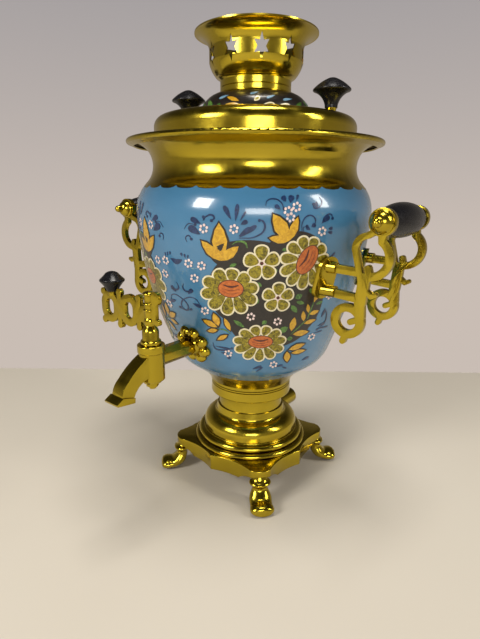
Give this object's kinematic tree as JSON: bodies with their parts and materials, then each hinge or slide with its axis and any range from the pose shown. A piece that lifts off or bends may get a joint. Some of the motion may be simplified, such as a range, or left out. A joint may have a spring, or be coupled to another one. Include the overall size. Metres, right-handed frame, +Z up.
{
  "type": "electric samovar",
  "caption": "Electric samovar with a painted pear-shaped brass vessel, scrolled side handles, a turning tap with a pierced lever, and a pierced crown on its lid",
  "frame": {"origin": "on the table, on the vessel's upright centre line, in the plane of the four feet", "axes": "+Z up, -Y towards the tap, +X and -X towards the two handles, +Y towards the power inlet"},
  "size_m": [0.285, 0.26, 0.376],
  "materials": {
    "brass": "polished, lacquered",
    "blue_enamel": "gloss enamel with painted flowers; bare polished brass above the scalloped edge",
    "black_gloss": "gloss",
    "steel": "zinc-plated",
    "heater_steel": "satin",
    "rubber": "matt",
    "ceramic": "unglazed ceramic",
    "wire": "heat-proof sleeving"
  },
  "bodies": {
    "body": {"body_shell": "blue_enamel", "vessel_floor": "brass", "foot_collar": "brass", "foot_dome": "brass", "base_plate": "brass", "leg_front_right": "brass", "leg_back_right": "brass", "leg_back_left": "brass", "leg_front_left": "brass", "foot_screws": "steel", "clamp_disc": "steel", "tie_rod": "steel", "tie_seal": "rubber", "tie_nuts": "steel", "heater_tube": "heater_steel", "heater_bushings": "brass", "heater_gaskets": "rubber", "heater_nuts": "steel", "heater_terminals": "heater_steel", "inlet_shroud": "brass", "inlet_block": "ceramic", "inlet_pins": "brass", "earth_strip": "brass", "lead_wires": "wire", "tap_body": "brass", "tap_rosette": "brass", "tap_gasket": "rubber", "tap_washer": "steel", "tap_nut": "steel", "right_grip": "black_gloss", "left_grip": "black_gloss", "right_rod": "steel", "left_rod": "steel", "right_back_cap": "brass", "right_front_cap": "brass", "left_back_cap": "brass", "left_front_cap": "brass", "right_back_bracket": "brass", "right_front_bracket": "brass", "left_back_bracket": "brass", "left_front_bracket": "brass", "bracket_studs": "steel", "bracket_washers": "steel", "bracket_nuts": "steel"},
    "lid": {"lid_plate": "brass", "lid_dome": "brass", "crown": "brass", "crown_bolt": "steel", "crown_washer": "steel", "crown_nut": "steel", "right_lid_knob": "black_gloss", "left_lid_knob": "black_gloss", "right_knob_stem": "brass", "left_knob_stem": "brass", "knob_nuts": "steel"},
    "tap_key": {"tap_key": "brass", "plug_washer": "steel", "plug_nut": "steel", "lever_knob": "black_gloss"}
  },
  "joints": [
    {"name": "lid_lift", "type": "slide", "parent": "body", "child": "lid", "axis": [0, 0, 1], "range_m": [0, 0.12]},
    {"name": "tap_turn", "type": "hinge", "parent": "body", "child": "tap_key", "pos_m": [0, -0.1194, 0.141], "axis": [0, 0, 1], "range_deg": [0, 180]}
  ]
}
